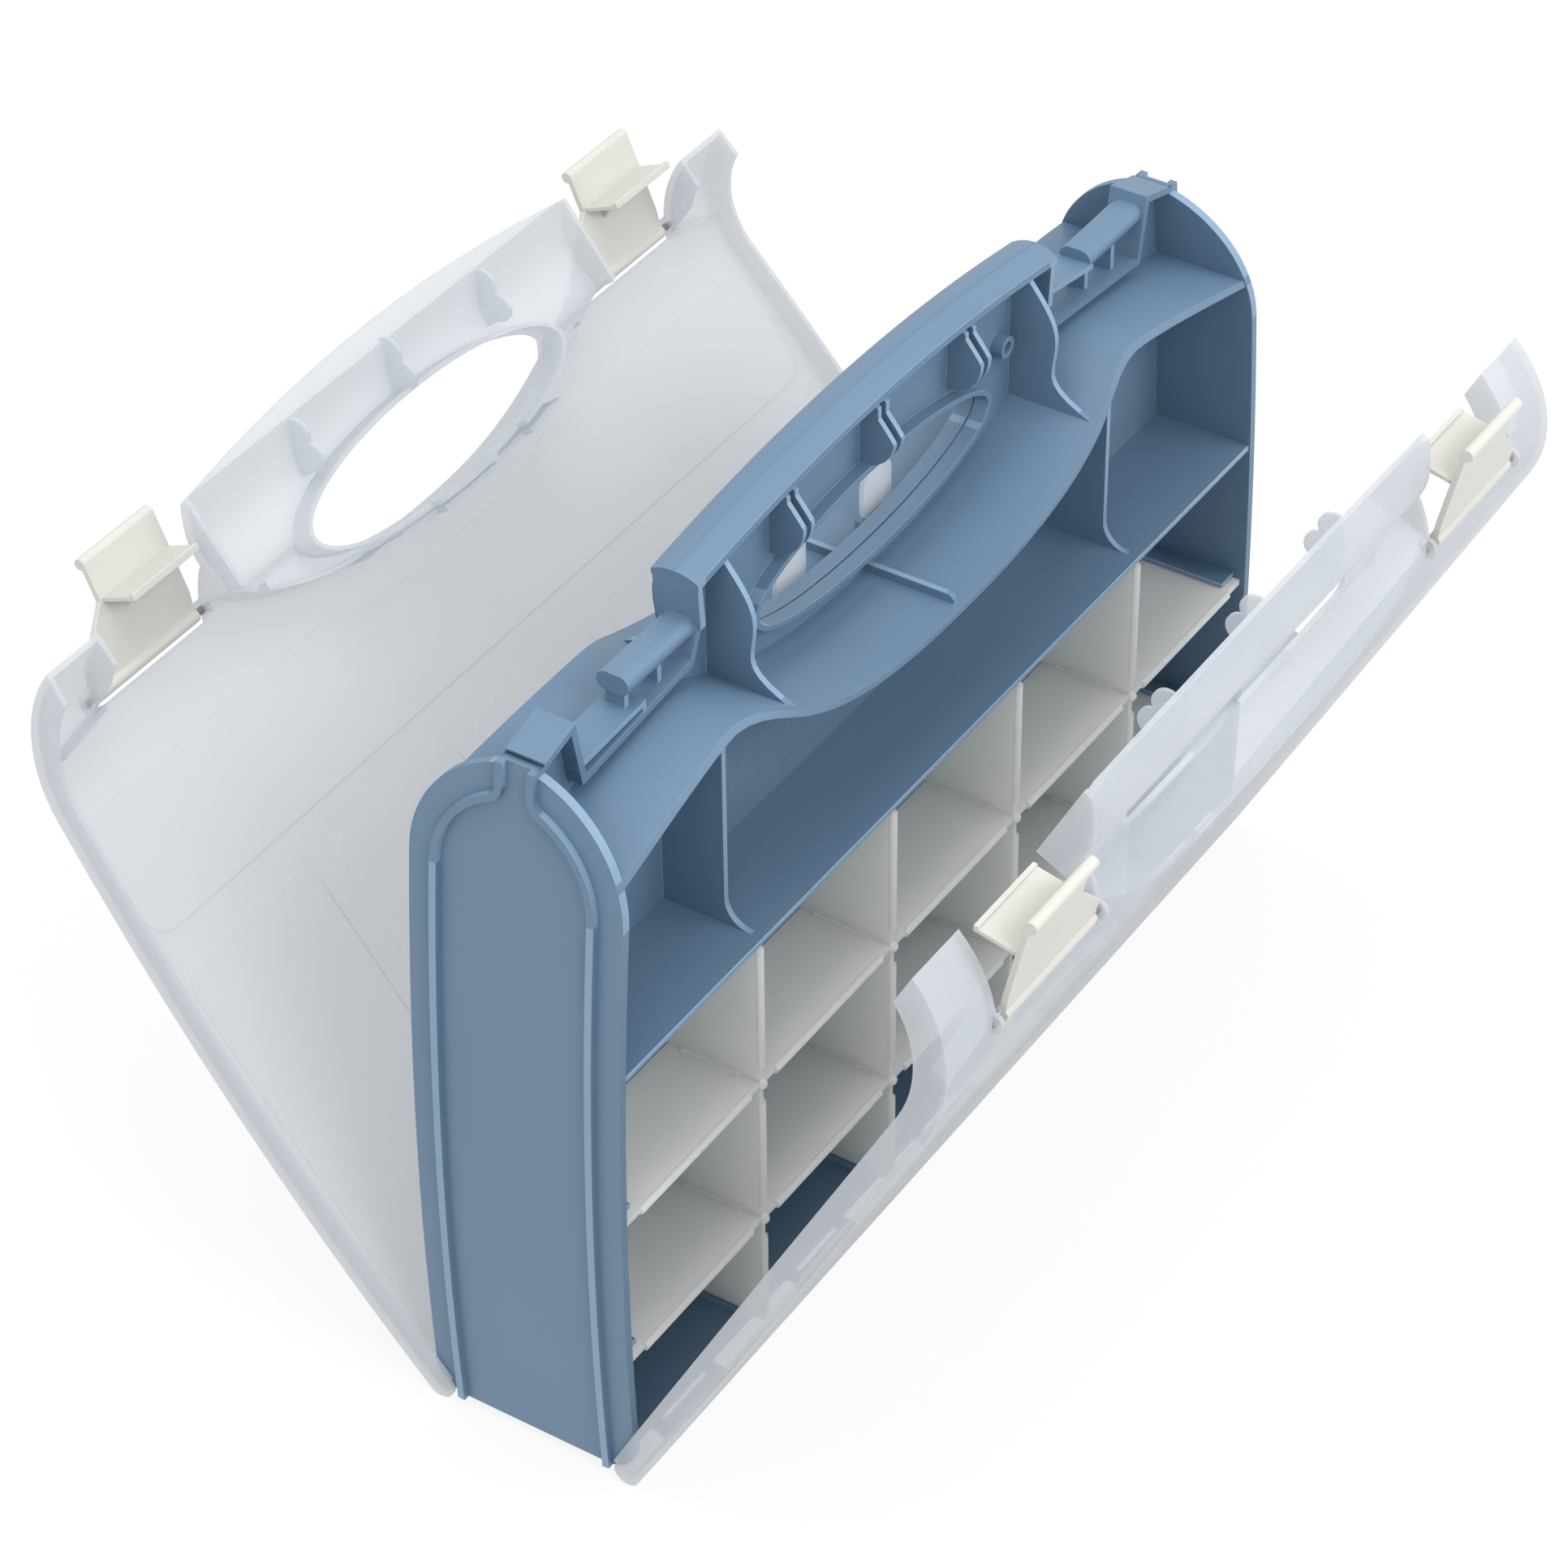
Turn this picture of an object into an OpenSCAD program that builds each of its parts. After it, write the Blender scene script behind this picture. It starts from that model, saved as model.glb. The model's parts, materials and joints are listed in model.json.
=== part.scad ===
// Double-sided compartment organizer, a carrying case with a clear lid on each side.
// X runs along the length, the front side faces -Y and Z is up.
// The origin is the middle of the foot, on the surface the case stands on.
// Both lids are drawn partly open, each turned about its own hinge line.

/* [Case] */
// Half of the inside length, from the middle to an end wall at its widest
case_half = 183; // [180:0.5:186]
// Thickness of an end wall
end_thick = 3; // [2:0.25:4]
// Half of the depth of the case without lids
depth_half = 36; // [34.5:0.5:38]
// Height of the foot rail under the floor
foot_height = 3.5; // [2.5:0.25:4]
// Reach of a foot rail over the middle line
foot_near = 5; // [4:0.5:8]
// Reach of a foot rail to its own side
foot_far = 23; // [18:0.5:26]
// Distance from the middle to the end of a foot rail
foot_end_x = 178; // [170:1:179]
// Radius of the bow of the end walls
bow_radius = 1250; // [1150:10:1500]
// Height where the bowed end walls are widest
bow_z = 87; // [80:1:95]
// Thickness of the floor
floor_thick = 2.5; // [2:0.25:3]
// Half of the depth of the floor, back from the hinge
floor_half = 29; // [27:0.5:29.2]
// Radius of the lower corners of an end wall
corner_radius = 11; // [9:0.5:13]
// Depth where the round shoulder starts, under the handle's top
shoulder_depth = 67; // [64:1:74]
// Radius of the round shoulder
shoulder_radius = 41; // [40.2:0.2:42]
// Half of the width of the neck on top of an end wall
neck_half = 6.5; // [6:0.25:7]
// Depth of the neck's inner side under the handle's top
neck_depth = 20.7; // [19:0.25:22]
// Fall of the neck's top towards the end
neck_fall = 5; // [4:0.25:6]
// Thickness of the web between the two sides
web_thick = 2; // [1.6:0.1:2.4]
// Depth of the straight shelf's top face under the handle's top
shelf_depth = 119; // [115:1:123]
// Thickness of the shelves
shelf_thick = 2; // [1.6:0.1:2.4]
// Setback of the shelf edges from the case outline
shelf_setback = 0.5; // [0.3:0.1:1.5]
// Distance of the bead on an end wall from the outline
ridge_inset = 9.5; // [9:0.25:10]
// Width of the bead
ridge_width = 2.4; // [1.8:0.1:2.8]
// Height of the bead above the end wall
ridge_height = 2.2; // [1.2:0.1:2.4]
// Radius where the bead turns up into the neck
neck_fillet = 5; // [4.4:0.2:5.4]

/* [Arch shelf] */
// Depth of the wavy shelf's middle under the handle's top
arch_mid_depth = 69; // [68:0.5:71]
// Power of the curve from the middle to the knee
arch_power = 2.5; // [2:0.1:3]
// Distance of the knee from the handle's end
arch_knee_inset = 14; // [12:0.5:17]
// Depth of the knee under the handle's top
arch_knee_depth = 53; // [52:0.5:55]
// Distance from an end wall to the crest
arch_crest_inset = 70; // [67:1:72]
// Depth of the crest under the handle's top
arch_crest_depth = 43; // [42:0.5:45]
// Power of the curve from the crest to the ends
arch_end_power = 1.3; // [1.1:0.1:1.6]
// Depth of the wavy shelf at the end walls under the handle's top
arch_end_depth = 54.5; // [52:0.5:56]
// Length of one step of the wave
arch_step = 6; // [4:0.5:8]
// Distance from an end wall to an upper wall
upper_wall_inset = 74; // [71:0.5:76]
// Depth of an upper wall, measured from the middle
upper_wall_half = 22.5; // [20:0.5:25]
// Radius of the flare at the foot of an upper wall
upper_wall_flare = 9; // [6:0.5:11]

/* [Handle] */
// Height of the case, to the middle of the handle's top
handle_top_z = 280; // [278.5:0.5:281.5]
// Radius of the handle's arc
handle_radius = 620; // [590:5:660]
// Half of the length of the handle
handle_half = 99; // [98.5:0.1:99.5]
// Radius of the crown across the handle's top
crown_radius = 14; // [12:0.5:18]
// Half of the width of the handle's top
strip_half = 8; // [7:0.25:8.2]
// Thickness of the strips round the web
strip_thick = 2.4; // [2:0.1:2.8]
// Depth where the grip ribs leave the strips, under the handle's top
grip_top_depth = 11; // [10.5:0.5:12.5]
// Half of the width of the grip at its bulge
bulge_half = 17.25; // [16.5:0.25:18]
// Depth of the bulge under the handle's top
bulge_depth = 30; // [28:0.5:32]
// Half of the width of the grip at its waist
waist_half = 16.2; // [15:0.2:16.8]
// Depth of the waist under the handle's top
waist_depth = 41.5; // [40:0.5:43]
// Half of the width of the flare at the grip's foot
flare_half = 32; // [30:0.5:33]
// Depth of the flare's end under the handle's top
flare_depth = 54.5; // [53.5:0.5:56]
// Power of the curve of the flare
flare_power = 2.2; // [1.8:0.1:2.6]
// Height under the waist where a lid's grip runs straight down
grip_step = 6; // [4:0.5:7]
// Distance of a grip rib from the handle's end
grip_rib_inset = 15; // [13:0.5:17]
// Thickness of a rib
rib_thick = 2; // [1.6:0.1:2.4]
// Inward lean of the handle's ends
handle_lean = 2; // [1.5:0.25:3]
// Depth of the bend in the handle's ends under the handle's top
handle_end_depth = 26; // [24:0.5:28]
// Distance from the handle's end to the pocket base
pocket_in_gap = 2; // [1:0.25:3]
// Depth of the pocket base's inner end under the handle's top
pocket_in_depth = 36; // [35.75:0.25:37.5]
// Distance from an end wall to the outer end of the pocket base
pocket_out_inset = 30.3; // [29.5:0.25:32]
// Depth of the pocket base's outer end under the handle's top
pocket_out_depth = 41.5; // [41:0.25:43]
// Distance from an end wall to a post's inner side
post_inset = 26; // [24.5:0.1:26.4]
// Half of the length of the hand opening
hand_half = 66; // [63:0.5:67]
// Half of the height of the hand opening
hand_rise = 17; // [16:0.25:17.2]
// Depth of the middle of the hand opening under the handle's top
hand_depth = 45; // [44:0.25:45.5]
// Wall of the ring round the hand opening
ring_wall = 2; // [1.6:0.1:2.4]
// Half of the depth of the ring
ring_half = 5.3; // [4.6:0.1:5.6]
// Width of the groove round the middle of the ring
ring_groove = 0.8; // [0.6:0.1:1.2]
// Distance from the middle to the outer slots of the handle
slot_x = 49; // [47:0.5:51]
// Width of a slot
slot_width = 2.5; // [2.2:0.1:3]
// Radius of the round ribs beside a slot
slot_rib_radius = 11.5; // [10.5:0.25:11.75]
// Depth of their middle under the handle's top
slot_rib_drop = 17; // [16:0.25:17]
// Thickness of the round ribs
slot_rib_thick = 1.8; // [1.4:0.1:2.2]
// Height of the middle rib above the wavy shelf
mid_rib_rise = 3; // [2:0.25:3.2]
// Length of the middle rib, measured from the web
mid_rib_reach = 33; // [30:0.5:34]
// Distance from the middle to the eyelet
eyelet_x = 75; // [73.5:0.5:78]
// Depth of the eyelet under the handle's top
eyelet_depth = 31; // [29:0.5:32.5]
// Outer radius of the eyelet
eyelet_radius = 3.6; // [3.2:0.1:4]
// Hole radius of the eyelet
eyelet_hole = 2; // [1.5:0.1:2.4]

/* [Latch pockets] */
// Depth of the catch bars' underside under the handle's top
bar_depth = 30.8; // [30.2:0.1:31]
// Height of a catch bar
bar_tall = 6.7; // [6:0.1:7]
// Half of the depth of a catch bar
bar_half = 5.5; // [4.9:0.1:5.6]
// Place of the left catch bar's outer end, as a share of the notch
bar_left_share = 0.565; // [0.54:0.005:0.58]
// Place of the right catch bar's inner end, as a share of the notch
bar_right_share = 0.454; // [0.43:0.002:0.48]
// Half of the depth of the sloping webs beside the bars
slope_half = 6; // [5:0.25:6.2]
// Height of the sloping webs' lower ends over the bar's underside
slope_land = 1; // [0.6:0.1:1.4]
// Thickness of the sloping webs
slope_thick = 1.8; // [1.5:0.1:2.2]
// Place of the left sloping web's inner end, as a share of the notch
slope_left_share = 0.426; // [0.41:0.002:0.44]
// Depth of the left sloping web's inner end under the handle's top
slope_left_depth = 35.4; // [35.2:0.1:36]
// Rise of the left sloping web
slope_left_rise = 1.6; // [1:0.1:2.4]
// Depth of the right sloping web at the handle, under the handle's top
slope_right_depth = 23; // [22:0.2:24]
// Depth of the short ribs under a bar, to each side
bar_rib_half = 3.2; // [2.5:0.1:3.4]

/* [Hinges] */
// Distance of a hinge line from the middle
hinge_y = 34.1; // [34:0.05:34.3]
// Height of the hinge lines
hinge_z = 5; // [4.9:0.05:5.5]
// Radius of the hinge pins
pin_radius = 1.4; // [1.2:0.05:1.5]
// Running clearance round a hinge pin
pin_gap = 0.05; // [0.03:0.01:0.08]
// Outer radius of the hinge eyes
eye_radius = 2.4; // [2.2:0.05:2.45]
// Length of one hinge eye of a lid
eye_length = 24; // [16:1:30]
// Thickness of the lugs that hold the pins
lug_thick = 3; // [2:0.25:4]
// Gap between an eye and its lugs
lug_gap = 0.3; // [0.2:0.05:0.5]
// Spacing of the hinge eyes
eye_pitch = 75; // [70:0.5:79]
// Opening angle of the front lid as drawn
front_angle = 27.5; // [10:0.5:60]
// Opening angle of the back lid as drawn
back_angle = 38; // [10:0.5:60]

/* [Lids] */
// Gap between the case and a lid
lid_gap = 0.8; // [0.6:0.05:0.9]
// Wall thickness of a lid
lid_wall = 1.7; // [1.5:0.05:1.8]
// Gap between an end wall and a lid's side wall
side_gap = 0.5; // [0.4:0.05:0.8]
// Gap between the bead and the edge of a lid's side wall
edge_gap = 0.8; // [0.5:0.1:1.2]
// Sweep of the curl under a hinge line, in degrees
curl_angle = 60; // [45:1:65]
// Height of the lid over the wavy shelf
grip_floor_rise = 3.6; // [3.4:0.1:4.2]
// Gap between the wavy shelf and the inner ridge
inner_ridge_gap = 0.6; // [0.4:0.05:1]
// Depth of the inner ridge along the wavy shelf
inner_ridge = 5; // [3:0.5:6]
// Distance from the handle's end to a latch notch
notch_in_gap = 0.6; // [0.5:0.1:1.4]
// Distance from an end wall to the outer side of a latch notch
notch_out_inset = 29.6; // [29:0.1:29.8]
// Depth of the notch's edge at the outside of the lid under the handle's top
notch_low_depth = 49; // [48:0.25:50]
// Depth of the notch's edge at the neck under the handle's top
notch_high_depth = 36; // [35:0.25:37]
// Rise of the raised panels above the inside of a lid
panel_rise = 0.6; // [0.4:0.05:0.7]
// Margin between a panel and the lines of the dividers
panel_margin = 5; // [4:0.5:8]
// Corner radius of a raised panel
panel_radius = 9; // [6:0.5:12]
// Thickness of the tongues that enter the handle's slots
tongue_thick = 1.2; // [1:0.1:1.6]
// Radius of the two lobes of a tongue
lobe_radius = 5; // [4.5:0.1:5.2]
// Distance between the two lobes of a tongue
lobe_pitch = 9; // [8:0.25:9.5]

/* [Latches] */
// Distance of a latch's hinge line from the middle of the closed case
latch_y = 31.4; // [31.3:0.05:31.5]
// Depth of a latch's hinge line on the closed case under the handle's top
latch_depth = 44; // [43.9:0.05:44.1]
// Radius of the latch's hinge bar
latch_bar_radius = 2.2; // [2:0.05:2.3]
// Radius of the latch's end pins
latch_pin_radius = 1.2; // [1:0.05:1.4]
// Length of a latch's end pins
latch_pin_length = 1.6; // [1:0.1:1.65]
// Lean of a latch as drawn, in degrees from the lid's face
latch_lean = 15; // [5:1:20]
// Length of a latch's plate
latch_length = 36; // [34:0.5:37]
// Thickness of a latch's plate
latch_thick = 2; // [1.6:0.1:2.4]
// Width of a latch at its hinge bar, as a share of the notch
latch_share = 0.892; // [0.86:0.004:0.91]
// Width of a latch at its tip, as a share of the notch
latch_tip_share = 0.613; // [0.55:0.005:0.625]
// Sideways offset of a latch's tip, as a share of the notch
latch_offset_share = 0.158; // [0.15:0.002:0.165]
// Distance of the hook from the hinge bar
hook_rise = 23.5; // [23.3:0.05:23.7]
// Reach of the hook
hook_reach = 14.8; // [14.6:0.05:15]
// Thickness of the hook
hook_thick = 1.6; // [1.2:0.1:1.7]
// Height of the lip on the hook
hook_lip = 1.6; // [1:0.1:1.6]

/* [Dividers] */
// Thickness of the divider plates
divider_thick = 2; // [1.6:0.1:2.2]
// Height of the upper row divider's middle
upper_row_z = 104; // [97:0.5:110]
// Height of the lower row divider's middle
lower_row_z = 49; // [44:0.5:56]
// Gap between a divider and the case
divider_gap = 0.2; // [0.15:0.05:0.4]
// Distance from the middle to the front edges of the dividers
divider_front = 34.2; // [33:0.2:34.4]
// Radius of the bead along the dividers' front edges
divider_bead = 1.3; // [1.1:0.05:1.4]
// Distance between the end of a bead and a crossing
bead_end = 7; // [5:0.5:10]
// Radius of the knobs at the crossings
knob_radius = 1.9; // [1.6:0.1:2]
// Height of the guide ribs beside the dividers
guide_height = 1.8; // [1:0.1:1.9]
// Thickness of the guide ribs
guide_thick = 1.2; // [1:0.1:1.6]
// Length of the rails that hold the row dividers
rail_length = 8; // [6:0.5:10]
// Thickness of the rails
rail_thick = 1.6; // [1.2:0.1:2]

/* [Clear tabs] */
// Distance of the tabs from the middle
tab_x = 24; // [20:0.5:27]
// Distance of the tabs behind the web
tab_y = 9.5; // [9:0.5:12]
// Width of a tab
tab_width = 16; // [12:0.5:18]
// Height of a tab
tab_height = 16; // [12:0.5:18]
// Thickness of a tab
tab_thick = 1.5; // [1.2:0.1:2]
// Room that the lids leave round a tab
tab_room = 1; // [0.8:0.1:1.5]
// Height of the seat under a tab, over the middle of the wavy shelf
tab_seat = 2.6; // [2.4:0.1:3]

/* [Hidden] */
$fn = 48;
shoulder_z = handle_top_z - shoulder_depth;
neck_top_z = handle_top_z - neck_depth;
shelf_z = handle_top_z - shelf_depth;
arch_mid_z = handle_top_z - arch_mid_depth;
arch_knee_z = handle_top_z - arch_knee_depth;
arch_crest_z = handle_top_z - arch_crest_depth;
arch_end_z = handle_top_z - arch_end_depth;
grip_top_z = handle_top_z - grip_top_depth;
bulge_z = handle_top_z - bulge_depth;
waist_z = handle_top_z - waist_depth;
flare_z = handle_top_z - flare_depth;
handle_end_z = handle_top_z - handle_end_depth;
pocket_in_z = handle_top_z - pocket_in_depth;
pocket_out_z = handle_top_z - pocket_out_depth;
hand_z = handle_top_z - hand_depth;
eyelet_z = handle_top_z - eyelet_depth;
bar_z = handle_top_z - bar_depth;
slope_left_z = handle_top_z - slope_left_depth;
slope_right_z = handle_top_z - slope_right_depth;
notch_low_z = handle_top_z - notch_low_depth;
notch_high_z = handle_top_z - notch_high_depth;
latch_z = handle_top_z - latch_depth;
post_in_x = case_half - post_inset;
pocket_out_x = case_half - pocket_out_inset;
notch_out_x = case_half - notch_out_inset;
arch_crest_x = case_half - arch_crest_inset;
upper_wall_x = case_half - upper_wall_inset;
pocket_in_x = handle_half + pocket_in_gap;
notch_in_x = handle_half + notch_in_gap;
grip_rib_x = handle_half - grip_rib_inset;
arch_knee_x = handle_half - arch_knee_inset;
notch_width = notch_out_x - notch_in_x;
bar_left_x = notch_in_x + bar_left_share * notch_width;
bar_right_x = notch_in_x + bar_right_share * notch_width;
slope_left_x = notch_in_x + slope_left_share * notch_width;
latch_half = latch_share * notch_width / 2;
latch_tip_half = latch_tip_share * notch_width / 2;
latch_offset = latch_offset_share * notch_width;
columns = 5;
shoulder_shift = shoulder_radius - depth_half;
outer_half = case_half + end_thick;
floor_z = foot_height + floor_thick;
column_pitch = 2 * case_half / columns;
arc_z = handle_top_z - handle_radius;
over = 1;
far = 4 * case_half;
arch_half = case_half + over / 2;
arch_thick_share = 1.05;
arch_thick = shelf_thick * arch_thick_share;
mitre_limit_share = 0.3;
curve_steps = 18;
crown_steps = 5;
oval_steps = 72;
guide_top = floor_z + guide_height;
guide_low = shelf_z - shelf_thick - guide_height;
split_x = handle_half - handle_lean - strip_thick;
neck_end_z = neck_top_z - neck_fall;
neck_end_x = outer_half - bow(neck_end_z);
neck_line = neck_half - ridge_width / 2;
fillet_y = neck_line + neck_fillet;
fillet_z = shoulder_z + sqrt(pow(shoulder_radius - ridge_inset + neck_fillet, 2)
    - pow(fillet_y + shoulder_shift, 2));
lid_out = depth_half + lid_gap + lid_wall;
hinge_round = lid_out - hinge_y;
lid_end = outer_half + side_gap + lid_wall;
closed_tip_z = handle_top_z + foot_far;
body_blue = [0.36, 0.47, 0.58];
divider_white = [0.85, 0.85, 0.83];
latch_white = [0.83, 0.83, 0.8];
lid_clear = [0.86, 0.88, 0.9, 0.45];
tab_clear = [0.9, 0.92, 0.93, 0.5];

// The end walls' distance from their widest place, at a height.
function bow(z) = bow_radius - sqrt(pow(bow_radius, 2) - pow(z - bow_z, 2));

// Height of the wavy shelf's top face at a distance from the middle.
function arch_top(x) = let (a = abs(x))
    a < arch_knee_x ? arch_mid_z + (arch_knee_z - arch_mid_z)
        * pow(a / arch_knee_x, arch_power)
    : a < arch_crest_x ? arch_knee_z + (arch_crest_z - arch_knee_z)
        * sin(90 * (a - arch_knee_x) / (arch_crest_x - arch_knee_x))
    : arch_crest_z - (arch_crest_z - arch_end_z)
        * pow((a - arch_crest_x) / (case_half - arch_crest_x), arch_end_power);

grip_top_half = strip_half - over / 2;

// Half of the grip's width at a height.
function grip_at(z) =
    z > bulge_z ? grip_top_half + (bulge_half - grip_top_half)
        * sin(90 * (grip_top_z - z) / (grip_top_z - bulge_z))
    : z > waist_z ? waist_half + (bulge_half - waist_half)
        * (1 - cos(180 * (z - waist_z) / (bulge_z - waist_z))) / 2
    : waist_half + (flare_half - waist_half)
        * pow((waist_z - z) / (waist_z - flare_z), flare_power);

// A line moved to its left by a distance, with mitred corners.
function unit(v) = v / norm(v);
function left_of(v) = [-v[1], v[0]];
function moved(p, d) = [for (i = [0 : len(p) - 1])
    let (before = unit(p[max(i, 1)] - p[max(i, 1) - 1]),
        after = unit(p[min(i + 1, len(p) - 1)] - p[min(i + 1, len(p) - 1) - 1]),
        n = left_of(unit(before + after)))
    p[i] + n * d / max(mitre_limit_share, n * left_of(after))];
function turned(p) = [for (i = [0 : len(p) - 1]) p[len(p) - 1 - i]];
function mirrored(p) = [for (q = p) [-q[0], q[1]]];
function oval(a, b) = [for (i = [0 : oval_steps - 1])
    [a * cos(360 * i / oval_steps), b * sin(360 * i / oval_steps)]];

// A flat shape in Y and Z, drawn out along X on both sides of a middle.
module along_x(length, x = 0) {
    translate([x - length / 2, 0, 0]) rotate([90, 0, 90]) linear_extrude(length) children();
}

// A flat shape in X and Z, drawn out along Y from one distance to another.
module along_y(from, to) {
    translate([0, to, 0]) rotate([90, 0, 0]) linear_extrude(to - from) children();
}

module block(x1, x2, y1, y2, z1, z2) {
    translate([x1, y1, z1]) cube([x2 - x1, y2 - y1, z2 - z1]);
}

// The room between the bowed ends of the case, set in by a distance.
module inside(d) {
    shift = bow_radius - outer_half;
    along_y(-far / 2, far / 2) intersection() {
        translate([shift, bow_z]) circle(bow_radius - d, $fn = 360);
        translate([-shift, bow_z]) circle(bow_radius - d, $fn = 360);
    }
}

// The end view of the case, set in from its outline by a distance.
module end_shape(d, neck, fillet, top) {
    y = depth_half - d;
    r = corner_radius - d;
    translate([-y + r, foot_height + d]) square([2 * (y - r), shoulder_z - foot_height - d]);
    translate([-y, foot_height + d + r]) square([2 * y, shoulder_z - foot_height - d - r]);
    for (s = [-1, 1]) {
        translate([s * (y - r), foot_height + d + r]) circle(r);
        intersection() {
            translate([-s * shoulder_shift, shoulder_z]) circle(shoulder_radius - d, $fn = 2 * $fn);
            translate([s < 0 ? -y : 0, shoulder_z - over]) square([y, shoulder_radius + over]);
        }
        if (fillet > 0) difference() {
            polygon([[0, shoulder_z], [0, fillet_z], [s * fillet_y, fillet_z],
                [s * (fillet_y - unit_y * fillet), fillet_z - unit_z * fillet]]);
            translate([s * fillet_y, fillet_z]) circle(fillet);
        }
    }
    translate([-neck, shoulder_z]) square([2 * neck, top - shoulder_z]);
}
unit_y = (fillet_y + shoulder_shift) / (shoulder_radius - ridge_inset + neck_fillet);
unit_z = (fillet_z - shoulder_z) / (shoulder_radius - ridge_inset + neck_fillet);

// The region within the bead, which runs down to the edge of the end wall.
module ridge_shape(shift, top) {
    end_shape(ridge_inset - shift, neck_line + shift, neck_fillet - shift, top);
    half = depth_half - ridge_inset + shift;
    translate([-half, 0]) square([2 * half, shoulder_z]);
}

crown_drop = crown_radius - sqrt(pow(crown_radius, 2) - pow(strip_half, 2));
// The outline of one pocket and post, from the handle to the end wall.
handle_edge_z = arc_z + sqrt(pow(handle_radius, 2) - pow(handle_half, 2));
pocket_line = [[handle_half, handle_edge_z], [handle_half - handle_lean, handle_end_z],
    [pocket_in_x, pocket_in_z], [pocket_out_x, pocket_out_z],
    [post_in_x, neck_top_z], [neck_end_x, neck_end_z], [outer_half, neck_end_z]];

cap_z = handle_edge_z - crown_drop - strip_thick / 2;

module web_outline(d) {
    line = moved(pocket_line, -d);
    right = concat([[handle_half - d, handle_top_z + over], [handle_half - d, handle_edge_z - d]],
        [for (i = [1 : len(line) - 1]) line[i]],
        [[outer_half, shoulder_z - 2 * corner_radius]]);
    intersection() {
        polygon(concat(right, turned(mirrored(right))));
        translate([0, arc_z]) circle(handle_radius - d, $fn = 360);
    }
}

// Points along the wavy shelf's top face, moved up or down.
function arch_line(rise, half) = let (n = ceil(half / arch_step))
    [for (i = [-n : n]) [i * half / n, arch_top(i * half / n) + rise]];

module wave(low, high, half) {
    polygon(concat(arch_line(high, half), [[half, low], [-half, low]]));
}

module wave_strip(low, high, half) {
    polygon(concat(arch_line(high, half), turned(arch_line(low, half))));
}

// The room above the wavy shelf, between two distances from the middle.
module above_arch(x1, x2) {
    along_y(-far / 2, far / 2) intersection() {
        polygon(concat(arch_line(0, arch_half),
            [[arch_half, closed_tip_z], [-arch_half, closed_tip_z]]));
        translate([x1, 0]) square([x2 - x1, far]);
    }
}

// One side of the grip in Y and Z, widened by a distance.
module grip_shape(low, high, d, straight) {
    n = curve_steps;
    z = [for (i = [0 : n]) low + (grip_top_z - low) * i / n];
    line = [for (h = z) [grip_at(straight ? max(h, waist_z - grip_step) : h), h]];
    side = moved(concat(line, [[grip_top_half, high]]), -d);
    polygon(concat(side, [[0, high], [0, low]]));
}

module upper_wall_shape() {
    half = upper_wall_half;
    r = upper_wall_flare;
    translate([0, shelf_z]) square([half, arch_crest_z - shelf_z]);
    difference() {
        translate([half - over, shelf_z]) square([r + over, r]);
        translate([half + r, shelf_z + r]) circle(r);
    }
}

// Both end walls with their beads, which are open at the bottom.
module end_walls() {
    difference() {
        intersection() {
            along_x(far) end_shape(0, neck_half, 0, neck_end_z);
            inside(0);
        }
        inside(end_thick);
    }
    difference() {
        intersection() {
            along_x(far) intersection() {
                difference() {
                    ridge_shape(ridge_width / 2, neck_end_z);
                    ridge_shape(-ridge_width / 2, neck_top_z + over);
                }
                end_shape(0, neck_half, 0, neck_end_z);
            }
            inside(-ridge_height);
        }
        inside(over / 2);
    }
}

module end_wall_left() {
    color(body_blue) intersection() {
        end_walls();
        block(-far, 0, -far, far, 0, far);
    }
}

module end_wall_right() {
    color(body_blue) intersection() {
        end_walls();
        block(0, far, -far, far, 0, far);
    }
}

module strips() {
    along_y(-neck_half, neck_half) difference() {
        web_outline(0);
        web_outline(strip_thick);
        translate([-handle_half - over, handle_end_z - over / 2])
            square([2 * (handle_half + over), far]);
        translate([-far, 0]) square([2 * far, pocket_out_z - 2 * strip_thick]);
    }
    // The wider strips down the ends of the handle.
    foot = handle_half - handle_lean;
    cap = handle_half - strip_thick / 4;
    for (s = [-1, 1]) along_y(-strip_half + over / 3, strip_half - over / 3) polygon([
        [s * cap, cap_z], [s * (foot + over / 4), handle_end_z],
        [s * (foot + over / 4), handle_end_z - over],
        [s * (foot - strip_thick), handle_end_z - over],
        [s * (foot - strip_thick), handle_end_z], [s * (cap - strip_thick), cap_z]]);
}

// A point of the handle's crowned section, by its share of the half width.
function crown_at(share) = [handle_radius - crown_radius
    + sqrt(pow(crown_radius, 2) - pow(share * strip_half, 2)), share * strip_half];

module handle_top() {
    half_angle = asin(handle_half / handle_radius);
    n = crown_steps;
    translate([0, 0, arc_z]) rotate([90, -90 + half_angle, 0]) mirror([0, 0, 1])
        rotate_extrude(angle = 2 * half_angle, $fn = 360) polygon(concat(
            [for (i = [-n : n]) crown_at(i / n)],
            [[handle_radius - crown_drop - strip_thick, strip_half],
            [handle_radius - crown_drop - strip_thick, -strip_half]]));
}

// The web above the wavy shelf, with the hand opening and the eyelet.
module web() {
    difference() {
        union() {
            along_y(-web_thick / 2, web_thick / 2) {
                web_outline(strip_thick / 2);
                translate([-outer_half, shelf_z]) square([2 * outer_half, shoulder_z - shelf_z]);
            }
            along_y(-ring_half, ring_half) translate([eyelet_x, eyelet_z]) circle(eyelet_radius);
        }
        along_y(-far / 2, far / 2) {
            translate([0, hand_z]) polygon(oval(hand_half - ring_wall / 2, hand_rise - ring_wall / 2));
            translate([eyelet_x, eyelet_z]) circle(eyelet_hole);
        }
    }
}

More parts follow.
